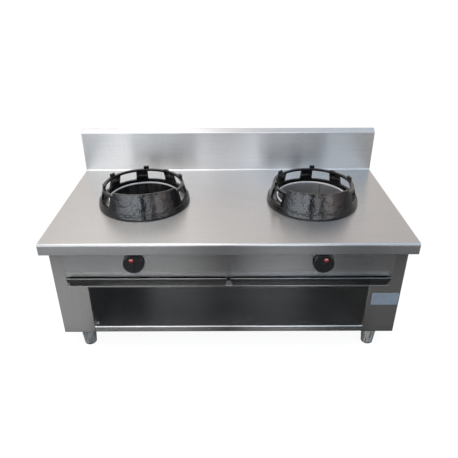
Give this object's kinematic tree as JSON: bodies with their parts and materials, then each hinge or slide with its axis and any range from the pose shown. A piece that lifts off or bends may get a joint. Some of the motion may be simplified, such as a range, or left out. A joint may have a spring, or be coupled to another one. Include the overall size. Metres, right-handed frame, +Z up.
{
  "type": "wok range",
  "caption": "Low stainless gas wok range with cast wok rings, pull-out drip trays, an open storage shelf, a splashback and round feet.",
  "frame": {"origin": "on the floor, under the middle of the worktop's outline", "axes": "+X to the cook's right along the width, +Y from the front to the splashback, +Z up"},
  "size_m": [1.5, 0.8, 0.7735],
  "materials": {
    "stainless": "satin brushed stainless sheet, grain along the width",
    "liner_steel": "rolled stainless sheet, semi-bright, heat stained inside",
    "enamelled_iron": "black enamel on cast iron, glossy",
    "bare_iron": "cast iron, matt, heat darkened",
    "knob_plastic": "black heat-resistant plastic, satin",
    "marker_plastic": "red inset, glossy",
    "brass": "machined brass",
    "pipe_steel": "zinc-plated steel, satin",
    "copper": "drawn copper tube",
    "plate": "thin plain plate, print left out"
  },
  "bodies": {
    "cabinet": {"back_panel": "stainless", "back_panel_screws": "pipe_steel", "bottom_shelf": "stainless", "burner_hanger_left": "pipe_steel", "burner_hanger_right": "pipe_steel", "burner_left": "bare_iron", "burner_right": "bare_iron", "cavity_wall_left": "stainless", "cavity_wall_right": "stainless", "control_panel": "stainless", "feed_pipe_left": "copper", "feed_pipe_right": "copper", "foot_nuts": "pipe_steel", "gas_inlet_pipe": "pipe_steel", "gas_manifold": "pipe_steel", "gas_tap_left": "brass", "gas_tap_right": "brass", "injector_left": "brass", "injector_right": "brass", "label_plate": "plate", "leg_base_left": "pipe_steel", "leg_base_right": "pipe_steel", "manifold_brackets": "pipe_steel", "pilot_left": "brass", "pilot_pipe_left": "copper", "pilot_pipe_right": "copper", "pilot_right": "brass", "shelf_clip": "stainless", "side_panel_left": "stainless", "side_panel_right": "stainless", "tap_screws": "pipe_steel", "thermocouple_left": "copper", "thermocouple_right": "copper", "top_brace_front": "stainless", "top_brace_rear": "stainless", "tray_deck": "stainless", "tray_guides": "stainless", "well_liner_left": "liner_steel", "well_liner_right": "liner_steel", "worktop": "stainless"},
    "tray_left": {"drip_tray_left": "stainless"},
    "ring_left": {"wok_ring_left": "enamelled_iron"},
    "cap_left": {"burner_cap_left": "bare_iron"},
    "tap_push_left": {"tap_plunger_left": "brass"},
    "knob_turn_left": {"knob_left": "knob_plastic", "knob_marker_left": "marker_plastic", "tap_spindle_left": "brass"},
    "foot_front_left": {"foot_front_left": "stainless"},
    "foot_rear_left": {"foot_rear_left": "stainless"},
    "tray_right": {"drip_tray_right": "stainless"},
    "ring_right": {"wok_ring_right": "enamelled_iron"},
    "cap_right": {"burner_cap_right": "bare_iron"},
    "tap_push_right": {"tap_plunger_right": "brass"},
    "knob_turn_right": {"knob_right": "knob_plastic", "knob_marker_right": "marker_plastic", "tap_spindle_right": "brass"},
    "foot_front_right": {"foot_front_right": "stainless"},
    "foot_rear_right": {"foot_rear_right": "stainless"}
  },
  "joints": [
    {"name": "tray_slide_left", "type": "slide", "parent": "cabinet", "child": "tray_left", "axis": [0, -1, 0], "range_m": [0, 0.62]},
    {"name": "ring_lift_left", "type": "slide", "parent": "cabinet", "child": "ring_left", "axis": [0, 0, 1], "range_m": [0, 0.12]},
    {"name": "cap_lift_left", "type": "slide", "parent": "cabinet", "child": "cap_left", "axis": [0, 0, 1], "range_m": [0, 0.25]},
    {"name": "knob_push_left", "type": "slide", "parent": "cabinet", "child": "tap_push_left", "axis": [0, 1, 0], "range_m": [0, 0.004], "stiffness_N_per_m": 1000, "springref_m": -0.006},
    {"name": "knob_turn_left", "type": "hinge", "parent": "tap_push_left", "child": "knob_turn_left", "pos_m": [-0.383, -0.38, 0.455], "axis": [0, -1, 0], "range_deg": [0, 180]},
    {"name": "foot_height_front_left", "type": "slide", "parent": "cabinet", "child": "foot_front_left", "axis": [0, 0, 1], "range_m": [-0.025, 0]},
    {"name": "foot_height_rear_left", "type": "slide", "parent": "cabinet", "child": "foot_rear_left", "axis": [0, 0, 1], "range_m": [-0.025, 0]},
    {"name": "tray_slide_right", "type": "slide", "parent": "cabinet", "child": "tray_right", "axis": [0, -1, 0], "range_m": [0, 0.62]},
    {"name": "ring_lift_right", "type": "slide", "parent": "cabinet", "child": "ring_right", "axis": [0, 0, 1], "range_m": [0, 0.12]},
    {"name": "cap_lift_right", "type": "slide", "parent": "cabinet", "child": "cap_right", "axis": [0, 0, 1], "range_m": [0, 0.25]},
    {"name": "knob_push_right", "type": "slide", "parent": "cabinet", "child": "tap_push_right", "axis": [0, 1, 0], "range_m": [0, 0.004], "stiffness_N_per_m": 1000, "springref_m": -0.006},
    {"name": "knob_turn_right", "type": "hinge", "parent": "tap_push_right", "child": "knob_turn_right", "pos_m": [0.383, -0.38, 0.455], "axis": [0, -1, 0], "range_deg": [0, 180]},
    {"name": "foot_height_front_right", "type": "slide", "parent": "cabinet", "child": "foot_front_right", "axis": [0, 0, 1], "range_m": [-0.025, 0]},
    {"name": "foot_height_rear_right", "type": "slide", "parent": "cabinet", "child": "foot_rear_right", "axis": [0, 0, 1], "range_m": [-0.025, 0]}
  ]
}
